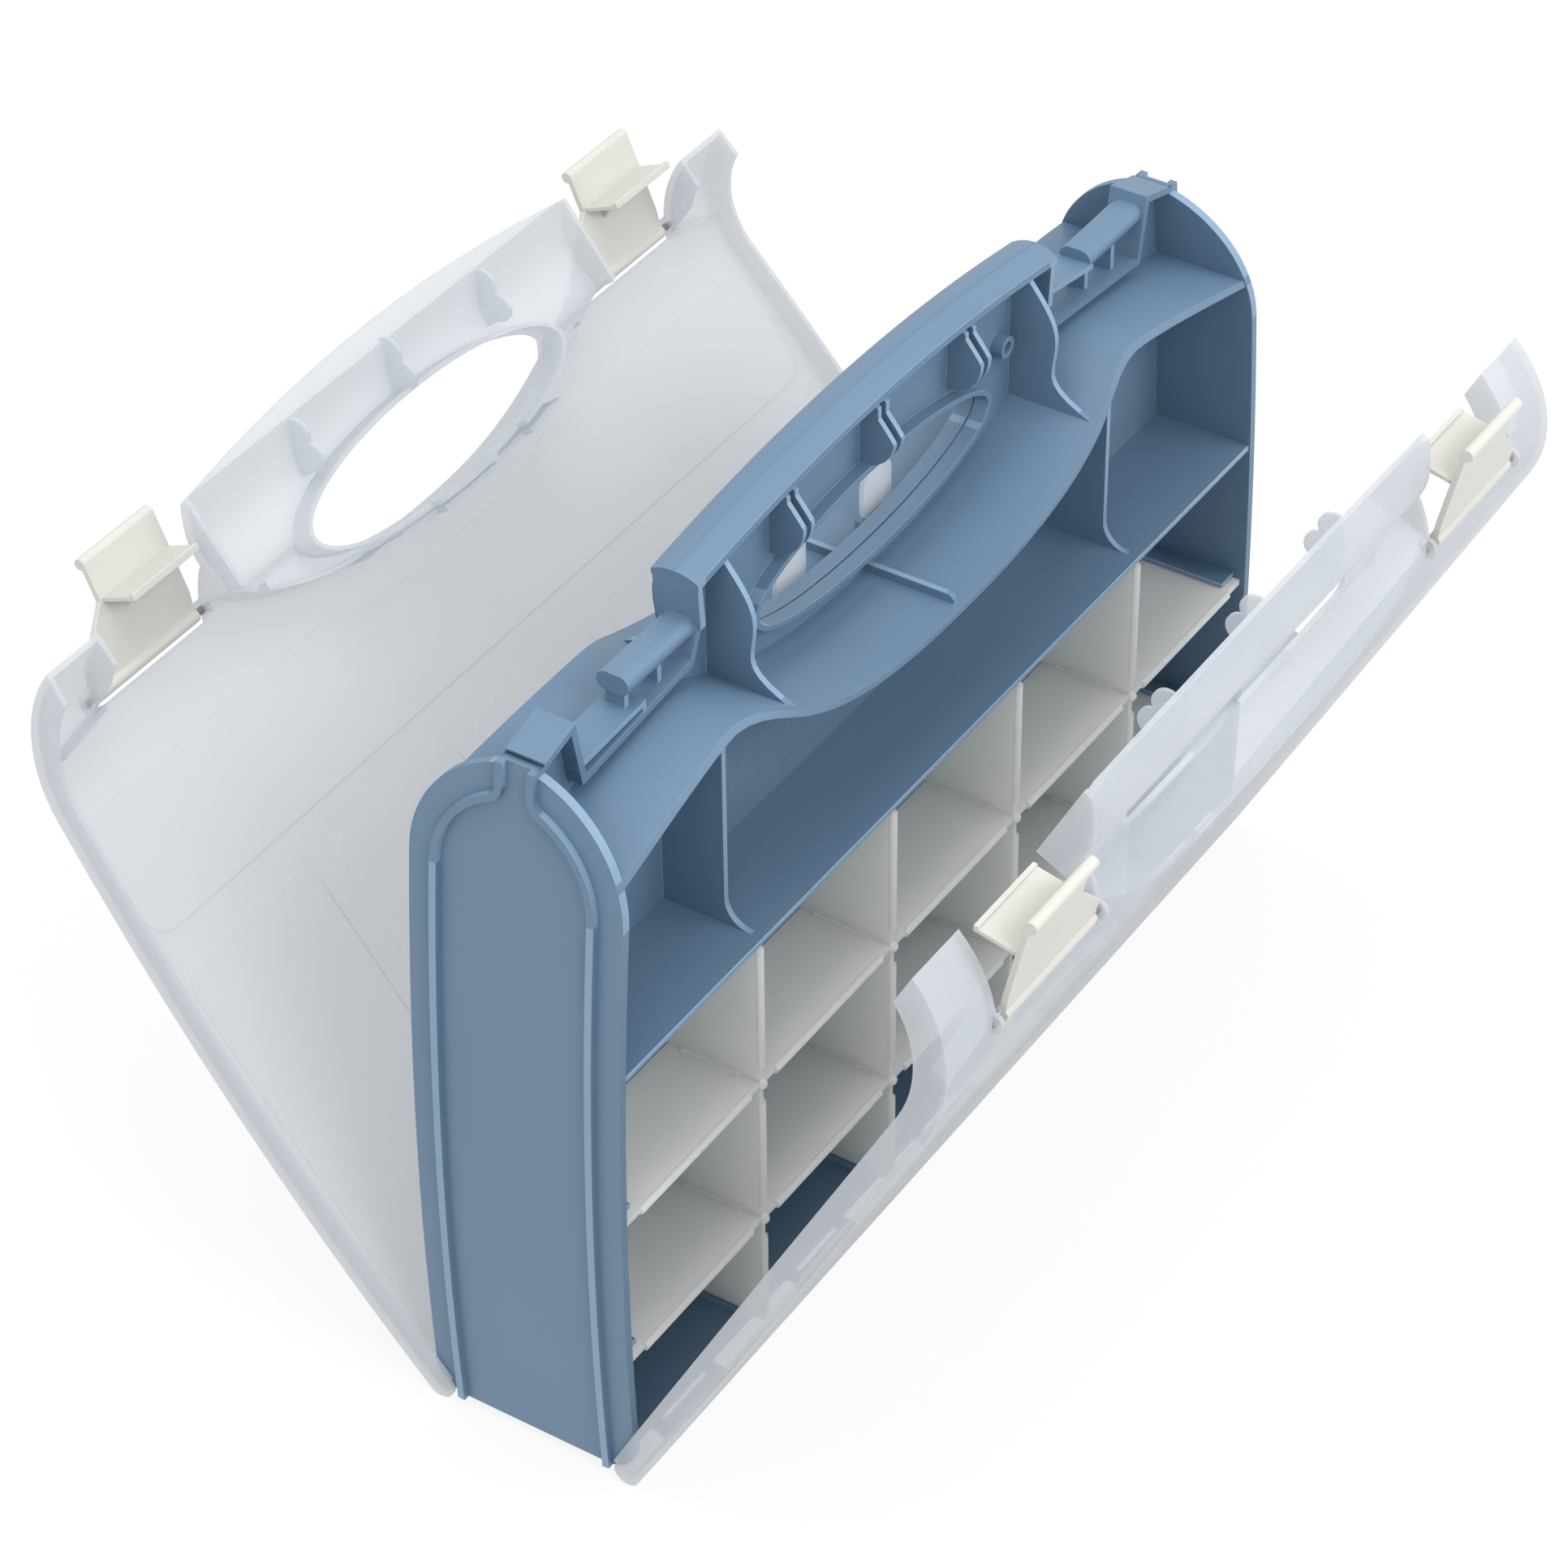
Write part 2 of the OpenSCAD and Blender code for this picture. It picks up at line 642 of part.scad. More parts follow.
module hand_ring() {
    difference() {
        along_y(-ring_half, ring_half) translate([0, hand_z]) polygon(oval(hand_half, hand_rise));
        along_y(-ring_half - over, ring_half + over)
            translate([0, hand_z]) polygon(oval(hand_half - ring_wall, hand_rise - ring_wall));
        along_y(-ring_groove / 2, ring_groove / 2) translate([0, hand_z])
            polygon(oval(hand_half - ring_wall / 2, hand_rise - ring_wall / 2));
    }
}

// The line under which the ribs stay, below the handle's crown.
module under_crown() {
    translate([0, 0, arc_z]) rotate([90, 0, 0])
        cylinder(h = far, r = handle_radius - crown_radius / 4, center = true, $fn = 360);
}

module slot_ribs() {
    for (x = [-slot_x, 0, slot_x], s = [-1, 1]) {
        top = arc_z + sqrt(pow(handle_radius, 2) - pow(x, 2));
        along_x(slot_rib_thick, x + s * (slot_width + slot_rib_thick) / 2) intersection() {
            for (side = [-1, 1]) translate([side * lug_thick / 2, top - slot_rib_drop])
                circle(slot_rib_radius);
            for (side = [0, 1]) mirror([side, 0]) grip_shape(waist_z, handle_top_z, 0, true);
            translate([-far / 2, top - slot_rib_drop - slot_rib_radius])
                square([far, slot_rib_radius + slot_rib_drop - crown_radius / 4]);
        }
    }
}

module grip_ribs() {
    for (x = [-grip_rib_x, grip_rib_x]) intersection() {
        along_x(rib_thick, x) for (s = [0, 1]) mirror([s, 0])
            grip_shape(flare_z, handle_top_z, 0, false);
        under_crown();
    }
}

module bar(x1, x2) {
    r = bar_tall / 2;
    translate([0, 0, bar_z]) {
        block(x1, x2, -bar_half + r, bar_half - r, 0, bar_tall);
        for (s = [-1, 1]) translate([x1, s * (bar_half - r), r]) rotate([0, 90, 0])
            cylinder(h = x2 - x1, r = r);
    }
}

module pocket_parts() {
    handle_in = handle_half - handle_lean;
    slope_end_z = slope_left_z - slope_left_rise;
    bar(-bar_left_x, -handle_in + strip_thick / 2);
    bar(bar_right_x, post_in_x);
    for (x = [-bar_left_x + rib_thick, -bar_left_x + column_pitch / 4,
        bar_right_x + rib_thick, bar_right_x + column_pitch / 4])
        block(x - rib_thick / 2, x + rib_thick / 2, -bar_rib_half, bar_rib_half,
            pocket_out_z, bar_z + over);
    // The sloping web beside the left bar, with its upright end.
    along_y(-slope_half, slope_half) {
        polygon([[-post_in_x + over, slope_end_z], [-slope_left_x, slope_left_z],
            [-slope_left_x, slope_left_z - slope_thick],
            [-post_in_x + over, slope_end_z - slope_thick]]);
        polygon([[-slope_left_x, slope_left_z], [-slope_left_x - slope_thick, slope_left_z - over],
            [-slope_left_x - slope_thick, pocket_out_z + over],
            [-slope_left_x, pocket_out_z + over]]);
        // The sloping web between the handle and the right bar.
        polygon([[handle_in, slope_right_z],
            [bar_right_x + over, bar_z + slope_thick + slope_land],
            [bar_right_x + over, bar_z + slope_land], [handle_in, slope_right_z - slope_thick]]);
    }
    along_y(-web_thick / 2, web_thick / 2)
        polygon([[-post_in_x + over, slope_end_z - over], [-slope_left_x, slope_left_z - over],
            [-slope_left_x, pocket_out_z], [-post_in_x + over, pocket_out_z - over]]);
}

module pocket(x1, x2) {
    color(body_blue) intersection() {
        union() {
            web();
            strips();
            handle_top();
            pocket_parts();
        }
        above_arch(x1, x2);
        inside(end_thick);
    }
}

module pocket_left() { pocket(-far / 2, -split_x); }
module pocket_right() { pocket(split_x, far / 2); }

// The grip of the case, from the wavy shelf to the crown.
module handle() {
    color(body_blue) intersection() {
        union() {
            web();
            strips();
            handle_top();
            grip_ribs();
            slot_ribs();
            hand_ring();
        }
        above_arch(-split_x, split_x);
    }
}

// The wavy shelf, its low middle rib and the seats of the clear tabs.
module arch_shelf() {
    r = mid_rib_rise;
    color(body_blue) {
        intersection() {
            along_y(-depth_half, depth_half) wave_strip(-arch_thick, 0, arch_half);
            along_x(far) end_shape(shelf_setback, neck_half, 0, neck_top_z);
            inside(end_thick);
        }
        for (s = [0, 1]) mirror([0, s, 0]) along_x(rib_thick) {
            translate([web_thick / 2, arch_mid_z - over])
                square([mid_rib_reach - r - web_thick / 2, r + over]);
            translate([mid_rib_reach - r, arch_mid_z]) circle(r);
        }
        for (x = [-tab_x, tab_x]) block(x - tab_width / 2, x + tab_width / 2,
            tab_y - tab_thick, tab_y + 2 * tab_thick, arch_mid_z - over, arch_mid_z + tab_seat);
    }
}

// The web between the shelves, with the two upper walls.
module upper_web() {
    color(body_blue) intersection() {
        union() {
            block(-outer_half, outer_half, -web_thick / 2, web_thick / 2, shelf_z, arch_crest_z);
            for (x = [-upper_wall_x, upper_wall_x], s = [0, 1]) mirror([0, s, 0])
                along_x(rib_thick, x) upper_wall_shape();
        }
        along_y(-far / 2, far / 2) wave(shelf_z, -arch_thick, arch_half);
        inside(end_thick);
    }
}

// Guide ribs at the foot and the head of the columns.
module guides(z) {
    half = divider_thick / 2 + divider_gap;
    reach = floor_half - ridge_width;
    for (i = [1 : columns - 1], s = [-1, 1]) {
        x = -case_half + i * column_pitch + s * (half + guide_thick / 2);
        block(x - guide_thick / 2, x + guide_thick / 2, -reach, reach, z, z + guide_height);
    }
}

module straight_shelf() {
    color(body_blue) {
        intersection() {
            along_x(far) end_shape(shelf_setback, neck_half, 0, neck_top_z);
            block(-far, far, -far, far, shelf_z - shelf_thick, shelf_z);
            inside(end_thick);
        }
        intersection() {
            block(-far, far, -web_thick / 2, web_thick / 2, guide_low, shelf_z - shelf_thick);
            inside(end_thick);
        }
        guides(guide_low);
    }
}

// The web below the straight shelf, with the rails that hold the row dividers.
module lower_web() {
    half = divider_thick / 2 + divider_gap;
    color(body_blue) intersection() {
        union() {
            block(-far, far, -web_thick / 2, web_thick / 2, guide_top, guide_low);
            for (z = [lower_row_z, upper_row_z], s = [-1, 1], e = [-1, 1]) {
                x = case_half - bow(z) - rail_length;
                mid = z + e * (half + rail_thick / 2);
                block(s < 0 ? -far : x, s < 0 ? -x : far, -divider_front + ridge_width, 0,
                    mid - rail_thick / 2, mid + rail_thick / 2);
            }
        }
        inside(end_thick);
    }
}

module hinge_lugs() {
    for (s = [-1, 1], i = [-2 : 2]) {
        half = eye_length / 2 + lug_gap;
        for (e = [-1, 1]) along_x(lug_thick, i * eye_pitch + e * (half + lug_thick / 2)) {
            translate([s * hinge_y, hinge_z]) circle(eye_radius);
            translate([s < 0 ? -hinge_y : floor_half - over, hinge_z - eye_radius / 3])
                square([hinge_y - floor_half + over, eye_radius + eye_radius / 3]);
        }
        along_x(2 * (half + over), i * eye_pitch) translate([s * hinge_y, hinge_z])
            circle(pin_radius);
    }
}

// The floor with its two foot rails, set to opposite sides, and the hinge pins.
module floor() {
    color(body_blue) {
        intersection() {
            union() {
                block(-far, far, -floor_half, floor_half, foot_height, floor_z);
                block(-far, far, -web_thick / 2, web_thick / 2, foot_height, guide_top);
            }
            inside(end_thick);
        }
        for (s = [0, 1]) rotate([0, 0, 180 * s])
            block(-foot_end_x, 0, -foot_near, foot_far, 0, foot_height + over);
        guides(floor_z);
        hinge_lugs();
    }
}

// The outside or the inside of a closed lid's end view, on the positive side.
module lid_side(g) {
    y = depth_half + g;
    translate([0, hinge_z]) square([y, shoulder_z - hinge_z]);
    intersection() {
        translate([-shoulder_shift, shoulder_z]) circle(shoulder_radius + g, $fn = 2 * $fn);
        translate([0, shoulder_z - over]) square([y, shoulder_radius + g + over]);
    }
}

module lid_curl(inner) {
    intersection() {
        difference() {
            translate([hinge_y, hinge_z]) circle(hinge_round);
            translate([hinge_y, hinge_z]) circle(inner);
        }
        reach = 2 * hinge_round;
        translate([hinge_y, hinge_z]) polygon([[0, 0], [reach, over / 2], [reach, -reach],
            [reach * cos(curl_angle), -reach * sin(curl_angle)]]);
    }
}

// The region above the edge line of a latch notch.
module notch_shape(drop) {
    polygon([[depth_half, notch_low_z - drop], [0, notch_high_z + over - drop], [0, closed_tip_z],
        [2 * depth_half, closed_tip_z], [2 * depth_half, notch_low_z - drop]]);
}

module lid_outside() {
    g = lid_gap + lid_wall;
    step_x = notch_in_x - lid_wall;
    // The part below the wavy line, over the whole length.
    intersection() {
        along_x(far) lid_side(g);
        inside(-side_gap - lid_wall);
        union() {
            along_y(-over, far) wave(0, grip_floor_rise + lid_wall, step_x);
            block(-far, -step_x, -over, far, 0, closed_tip_z);
            block(step_x, far, -over, far, 0, closed_tip_z);
        }
    }
    // The half of the grip.
    intersection() {
        along_x(2 * notch_in_x) grip_shape(waist_z - lid_out / 2, handle_top_z, g, true);
        under_crown();
    }
}

module lid_inside() {
    intersection() {
        along_x(far) {
            translate([0, -over]) square([depth_half + lid_gap, over + shoulder_z]);
            lid_side(lid_gap);
        }
        inside(-side_gap);
        union() {
            along_y(-over, far) wave(-over, grip_floor_rise, notch_in_x);
            block(-far, -notch_in_x, -over, far, -over, closed_tip_z);
            block(notch_in_x, far, -over, far, -over, closed_tip_z);
        }
    }
    along_x(2 * (notch_in_x - lid_wall))
        grip_shape(waist_z - lid_out / 2, handle_top_z + over, lid_gap, true);
}

module panel(w, h, r) {
    for (s = [-1, 1], e = [-1, 1]) translate([s * (w / 2 - r), e * (h / 2 - r)]) circle(r);
    translate([-w / 2 + r, -h / 2]) square([w - 2 * r, h]);
    translate([-w / 2, -h / 2 + r]) square([w, h - 2 * r]);
}

// A closed lid on the positive side, open where the case shows.
module closed_lid() {
    rim = lid_wall;
    notch = notch_out_x - notch_in_x;
    notch_mid = (notch_in_x + notch_out_x) / 2;
    difference() {
        union() {
            difference() {
                lid_outside();
                lid_inside();
                // The curl takes the place of the face at the hinge.
                block(-outer_half, outer_half, -over, hinge_y, -over, hinge_z + over);
            }
            intersection() {
                union() {
                    along_x(far) lid_curl(hinge_round - lid_wall);
                    // The side walls down to the hinge line.
                    difference() {
                        along_x(far) translate([hinge_y, hinge_z]) circle(hinge_round);
                        inside(-side_gap);
                    }
                }
                inside(-side_gap - lid_wall);
            }
            // The wall on the outer side of each notch.
            for (s = [-1, 1]) along_x(lid_wall, s * (notch_out_x + lid_wall / 2)) intersection() {
                lid_side(lid_gap + lid_wall / 2);
                notch_shape(0);
            }
            // The ears that hold the latches.
            for (s = [-1, 1], x = [notch_in_x - lid_wall / 2, notch_out_x + lid_wall / 2])
                difference() {
                    along_x(lid_wall, s * x) translate([latch_y, latch_z])
                        circle(latch_bar_radius + over);
                    along_y(0, far) wave(0, inner_ridge_gap, case_half);
                }
            // The rim of the hand opening.
            intersection() {
                along_y(ring_half + lid_gap, waist_half + lid_gap + lid_wall / 2)
                    translate([0, hand_z]) polygon(oval(hand_half + rim / 2, hand_rise + rim / 2));
                block(-far, far, -far, far, arch_mid_z + grip_floor_rise, far);
            }
            // The inner ridge along the wavy shelf.
            intersection() {
                along_y(0, far) wave_strip(inner_ridge_gap, inner_ridge_gap + lid_wall, case_half);
                inside(end_thick + side_gap);
                difference() {
                    along_x(far) lid_side(lid_gap + lid_wall / 2);
                    along_x(far) lid_side(-inner_ridge);
                    block(-notch_out_x, notch_out_x, -over, far, 0, far);
                }
            }
            // The raised panels behind the compartments.
            y = depth_half + lid_gap - panel_rise;
            along_y(y, depth_half + lid_gap + lid_wall / 2) {
                for (i = [0 : columns - 1])
                    translate([-case_half + i * column_pitch + column_pitch / 2, (floor_z + shelf_z) / 2])
                        panel(column_pitch - 2 * panel_margin, shelf_z - floor_z - 3 * panel_margin,
                            panel_radius);
                intersection() {
                    wave(shelf_z + panel_margin, -2 * panel_margin, case_half - panel_margin);
                    translate([0, (shelf_z + shoulder_z) / 2]) panel(2 * (case_half - panel_margin),
                        shoulder_z - shelf_z - 2 * panel_margin, panel_radius);
                }
            }
        }
        // The case shows at the neck and beside the bead.
        for (s = [-1, 1]) along_x(far / 2, s * (notch_in_x + far / 4))
            ridge_shape(ridge_width / 2 + edge_gap, closed_tip_z);
        block(-far, far, -far, strip_half + lid_gap / 2, 0, far);
        block(-far, far, -far, depth_half - ridge_inset + over, 0, shoulder_z / 2);
        for (s = [-1, 1]) along_x(notch, s * notch_mid) notch_shape(0);
        along_y(-over, far) translate([0, hand_z])
            polygon(oval(hand_half - rim / 2, hand_rise - rim / 2));
        // The holes for the pins of the latches.
        for (s = [-1, 1]) along_x(notch + 3 * lid_wall, s * notch_mid)
            translate([latch_y, latch_z]) circle(latch_pin_radius + pin_gap);
        // The room for the case's ribs and for the clear tabs.
        for (s = [-1, 1]) along_x(rib_thick + 2 * lid_gap, s * grip_rib_x)
            grip_shape(flare_z, handle_top_z, lid_gap / 2, false);
        for (s = [-1, 1]) block(s * tab_x - tab_width / 2 - tab_room,
            s * tab_x + tab_width / 2 + tab_room, 0, tab_y + tab_thick + 2 * tab_room, 0,
            arch_mid_z + tab_seat + tab_height + tab_room);
    }
    // The hinge eyes.
    for (i = [-2 : 2]) along_x(eye_length, i * eye_pitch) difference() {
        union() {
            translate([hinge_y, hinge_z]) circle(eye_radius);
            lid_curl(pin_radius + pin_gap);
        }
        translate([hinge_y, hinge_z]) circle(pin_radius + pin_gap);
    }
    // The tongues that enter the slots of the handle.
    for (x = [-slot_x, 0, slot_x]) {
        top = arc_z + sqrt(pow(handle_radius, 2) - pow(x, 2)) - slot_rib_drop;
        along_x(tongue_thick, x) intersection() {
            for (e = [0, 1]) translate([strip_half + lid_gap / 2, top + lobe_radius / 2 - e * lobe_pitch])
                circle(lobe_radius);
            grip_shape(waist_z, handle_top_z, lid_gap + lid_wall / 2, true);
        }
        along_x(tongue_thick, x) intersection() {
            translate([strip_half + lid_gap, top - lobe_pitch - lid_wall]) square([far, 2 * lobe_pitch]);
            grip_shape(waist_z, handle_top_z, lid_gap + lid_wall / 2, true);
        }
    }
}

// A lid or latch on the positive side, turned open about its hinge line and put on the front.
module opened(angle) {
    rotate([0, 0, 180]) translate([0, hinge_y, hinge_z]) rotate([-angle, 0, 0])
        translate([0, -hinge_y, -hinge_z]) children();
}

module front_lid() {
    color(lid_clear) opened(front_angle) closed_lid();
}

module back_lid() {
    color(lid_clear) rotate([0, 0, 180]) opened(back_angle) closed_lid();
}

// A latch with its hinge line on the X axis, standing up, its hook towards -Y.
module latch_piece() {
    middle = (notch_in_x + notch_out_x) / 2;
    r = latch_bar_radius;
    for (s = [-1, 1]) rotate([0, s * 90, 0]) {
        cylinder(h = latch_half, r = r);
        cylinder(h = (notch_out_x - notch_in_x) / 2 + latch_pin_length - over / 4, r = latch_pin_radius);
    }
    along_y(-latch_thick / 2, latch_thick / 2) polygon([
        [-latch_half, 0], [-latch_half, hook_rise / 3], [latch_offset - latch_tip_half, hook_rise],
        [latch_offset - latch_tip_half, latch_length], [latch_offset + latch_tip_half, latch_length],
        [latch_offset + latch_tip_half, hook_rise / 3], [latch_half, r], [latch_half, 0]]);
    // The curled tip.
    translate([latch_offset - latch_tip_half, latch_thick / 2, latch_length]) rotate([0, 90, 0])
        cylinder(h = 2 * latch_tip_half, r = latch_thick);
    // The hook, its lip and its two gussets.
    half = latch_tip_half - over;
    block(latch_offset - half, latch_offset + half, -hook_reach, 0,
        hook_rise - hook_thick / 2, hook_rise + hook_thick / 2);
    block(latch_offset - half, latch_offset + half, -hook_reach, -hook_reach + hook_thick,
        hook_rise, hook_rise + hook_thick / 2 + hook_lip / 2);
    for (s = [-1, 1]) along_x(hook_thick, latch_offset + s * half / 2)
        polygon([[0, hook_rise], [-hook_reach / 2, hook_rise], [0, hook_rise - hook_reach / 2]]);
}

module placed_latch(x) {
    translate([x, latch_y, latch_z]) rotate([latch_lean, 0, 0]) latch_piece();
}

module latch_front(x) {
    color(latch_white) opened(front_angle) placed_latch(x);
}

module latch_back(x) {
    color(latch_white) rotate([0, 0, 180]) opened(back_angle) placed_latch(x);
}

latch_x = (notch_in_x + notch_out_x) / 2;
module latch_front_left() { latch_front(latch_x); }
module latch_front_right() { latch_front(-latch_x); }
module latch_back_left() { latch_back(-latch_x); }
module latch_back_right() { latch_back(latch_x); }

// A long row divider with its knobs, half slots and bead.
module row_divider(z) {
    end = case_half - bow(z) - divider_gap;
    t = divider_thick / 2;
    slot = t + divider_gap;
    y_mid = -divider_front / 2;
    color(divider_white) {
        difference() {
            block(-end, end, -divider_front, -web_thick / 2 - divider_gap, z - t, z + t);
            for (i = [1 : columns - 1]) block(-case_half + i * column_pitch - slot,
                -case_half + i * column_pitch + slot, y_mid, 0, z - far, z + far);
        }
        for (i = [0 : columns - 1]) {
            x1 = -case_half + i * column_pitch + (i == 0 ? rail_length + over : bead_end);
            x2 = -case_half + (i + 1) * column_pitch - (i == columns - 1 ? rail_length + over : bead_end);
            translate([x1, -divider_front, z]) rotate([0, 90, 0]) cylinder(h = x2 - x1, r = divider_bead);
        }
        for (i = [1 : columns - 1]) translate([-case_half + i * column_pitch, -divider_front, z])
            sphere(knob_radius);
        // Twin guide ribs on top, behind the crossings.
        for (i = [1 : columns - 1], s = [-1, 1]) {
            x = -case_half + i * column_pitch + s * (slot + guide_thick / 2);
            block(x - guide_thick / 2, x + guide_thick / 2, -divider_front + bead_end, -bead_end,
                z, z + t + guide_thick);
        }
    }
}

module row_divider_upper() { row_divider(upper_row_z); }
module row_divider_lower() { row_divider(lower_row_z); }

// A tall column divider on the front side, half slotted for the rows.
module front_column(i) {
    x = -case_half + i * column_pitch;
    t = divider_thick / 2;
    low = floor_z + divider_gap;
    high = shelf_z - shelf_thick - divider_gap;
    slot = t + divider_gap;
    z = [low, lower_row_z, upper_row_z, high];
    color(divider_white) {
        difference() {
            block(x - t, x + t, -divider_front, -web_thick / 2 - divider_gap, low, high);
            for (row = [lower_row_z, upper_row_z])
                block(x - far, x + far, -far, -divider_front / 2 + divider_gap, row - slot, row + slot);
        }
        for (k = [0 : 2]) translate([x, -divider_front, z[k] + (k == 0 ? guide_height : bead_end)])
            cylinder(h = z[k + 1] - z[k] - bead_end - (k == 1 ? bead_end : guide_height), r = divider_bead);
    }
}

module front_column_1() { front_column(1); }
module front_column_2() { front_column(2); }
module front_column_3() { front_column(3); }
module front_column_4() { front_column(4); }

// A tall column divider on the back side.
module back_column(i) {
    x = -case_half + i * column_pitch;
    t = divider_thick / 2;
    low = floor_z + divider_gap;
    high = shelf_z - shelf_thick - divider_gap;
    color(divider_white) {
        block(x - t, x + t, web_thick / 2 + divider_gap, divider_front, low, high);
        translate([x, divider_front, low + guide_height])
            cylinder(h = high - low - 2 * guide_height, r = divider_bead);
    }
}

module back_column_1() { back_column(1); }
module back_column_2() { back_column(2); }
module back_column_3() { back_column(3); }
module back_column_4() { back_column(4); }

// A small clear tab that stands behind the hand opening.
module clear_tab(x) {
    color(tab_clear) {
        along_y(tab_y, tab_y + tab_thick)
            translate([x, arch_mid_z + tab_seat + tab_height / 2])
                panel(tab_width, tab_height, tab_height / 4);
        translate([x + tab_width / 2 - tab_thick, tab_y + tab_thick,
            arch_mid_z + tab_seat + tab_height - 2 * tab_thick]) sphere(tab_thick);
    }
}

module clear_tab_left() { clear_tab(-tab_x); }
module clear_tab_right() { clear_tab(tab_x); }

end_wall_left();
end_wall_right();
floor();
lower_web();
straight_shelf();
upper_web();
arch_shelf();
handle();
pocket_left();
pocket_right();
front_lid();
back_lid();
latch_front_left();
latch_front_right();
latch_back_left();
latch_back_right();
row_divider_upper();
row_divider_lower();
front_column_1();
front_column_2();
front_column_3();
front_column_4();
back_column_1();
back_column_2();
back_column_3();
back_column_4();
clear_tab_left();
clear_tab_right();
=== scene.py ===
# %% [markdown]
# # A double-sided compartment organizer
# The case is a blue body with a clear lid on each side. Its solids come from the packed
# model, which fixes every place and size. Here each solid gets the soft edges, the small
# moulding details and the plastics of the real one.

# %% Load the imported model
import bpy
import bmesh
import json
import math
from mathutils import Matrix, Vector
from mathutils.bvhtree import BVHTree

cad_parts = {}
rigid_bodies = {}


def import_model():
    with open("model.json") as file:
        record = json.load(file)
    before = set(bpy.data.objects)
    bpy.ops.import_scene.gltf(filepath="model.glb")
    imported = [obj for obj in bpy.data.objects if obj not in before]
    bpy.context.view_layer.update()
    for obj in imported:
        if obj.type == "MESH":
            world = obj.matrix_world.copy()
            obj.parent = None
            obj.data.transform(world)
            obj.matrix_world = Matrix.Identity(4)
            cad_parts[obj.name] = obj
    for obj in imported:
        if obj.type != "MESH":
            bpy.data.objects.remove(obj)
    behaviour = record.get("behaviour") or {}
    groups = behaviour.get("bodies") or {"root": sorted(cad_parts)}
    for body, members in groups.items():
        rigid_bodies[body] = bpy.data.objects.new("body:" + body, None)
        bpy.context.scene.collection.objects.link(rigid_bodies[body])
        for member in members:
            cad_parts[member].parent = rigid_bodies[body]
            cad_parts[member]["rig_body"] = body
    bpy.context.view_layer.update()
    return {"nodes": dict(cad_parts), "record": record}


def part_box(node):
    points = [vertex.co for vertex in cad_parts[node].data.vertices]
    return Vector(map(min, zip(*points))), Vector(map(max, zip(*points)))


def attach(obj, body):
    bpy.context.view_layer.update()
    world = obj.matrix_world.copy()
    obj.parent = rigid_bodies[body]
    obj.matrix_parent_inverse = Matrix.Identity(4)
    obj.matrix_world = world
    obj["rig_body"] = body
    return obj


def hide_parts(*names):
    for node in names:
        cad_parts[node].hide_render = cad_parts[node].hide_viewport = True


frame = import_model()
nodes = frame["nodes"]

# %% [markdown]
# ## Camera
# The photograph looks down on the case from its left end and a little from the front,
# with a long lens. The three directions below are the camera's own axes in the frame of
# the part, so they are written straight into its matrix.

# %% Place the camera
camera_data = bpy.data.cameras.new("camera")
camera_data.sensor_width = 36.0
camera_data.lens = 114.43
camera = bpy.data.objects.new("camera", camera_data)
bpy.context.scene.collection.objects.link(camera)
right = Vector((0.54165, -0.84057, -0.00802)).normalized()
up = Vector((0.53229, 0.33558, 0.77720))
up = (up - up.dot(right) * right).normalized()
back = right.cross(up)
spot = Vector((-1.01627, -0.63569, 1.09826))
camera.matrix_world = Matrix((
    (right.x, up.x, back.x, spot.x),
    (right.y, up.y, back.y, spot.y),
    (right.z, up.z, back.z, spot.z),
    (0, 0, 0, 1)))
camera_data.clip_start, camera_data.clip_end = 0.1, 30
bpy.context.scene.camera = camera
print("camera lens", camera_data.lens, "mm")

# %% [markdown]
# ## Shader maths as expressions
# A plastic needs a little arithmetic: a mask times a strength, one pattern less another.
# Wrapping a socket in a small class lets that be written as Python, and each operator
# adds its own Math node.

# %% The socket class and the node method
class Value:
    """A socket of a node tree that can be used in sums and products."""

    def __init__(self, tree, socket):
        self.tree, self.socket = tree, socket

    def maths(self, operation, other, swap=False):
        pair = (other, self) if swap else (self, other)
        return self.tree.add("ShaderNodeMath", {"operation": operation}, list(pair))

    def __add__(self, other): return self.maths("ADD", other)
    def __radd__(self, other): return self.maths("ADD", other, True)
    def __sub__(self, other): return self.maths("SUBTRACT", other)
    def __rsub__(self, other): return self.maths("SUBTRACT", other, True)
    def __mul__(self, other): return self.maths("MULTIPLY", other)
    def __truediv__(self, other): return self.maths("DIVIDE", other)
    def __gt__(self, other): return self.maths("GREATER_THAN", other)
    def __lt__(self, other): return self.maths("LESS_THAN", other)


class Tree:
    """A node tree of a material, a world or a shape, with one method that adds any node."""

    def __init__(self, node_tree):
        self.nodes, self.links = node_tree.nodes, node_tree.links
        self.nodes.clear()

    def add(self, kind, settings=None, inputs=None, output=0):
        node = self.nodes.new(kind)
        for name, value in (settings or {}).items():
            setattr(node, name, value)
        pairs = inputs.items() if isinstance(inputs, dict) else enumerate(inputs or [])
        for key, value in pairs:
            if isinstance(value, Value):
                self.links.new(value.socket, node.inputs[key])
            else:
                node.inputs[key].default_value = value
        return Value(self, node.outputs[output])

    def finish(self, surface):
        node = self.nodes.new("ShaderNodeOutputMaterial")
        self.links.new(surface.socket, node.inputs["Surface"])


def srgb(text):
    """A colour as it is seen, such as 728BA0, in the linear values that a shader takes."""
    parts = [int(text[i:i + 2], 16) / 255 for i in (0, 2, 4)]
    return tuple(c / 12.92 if c <= 0.04045 else ((c + 0.055) / 1.055) ** 2.4
                 for c in parts) + (1.0,)


def new_tree(name):
    material = bpy.data.materials.new(name)
    material.use_nodes = True
    return material, Tree(material.node_tree)


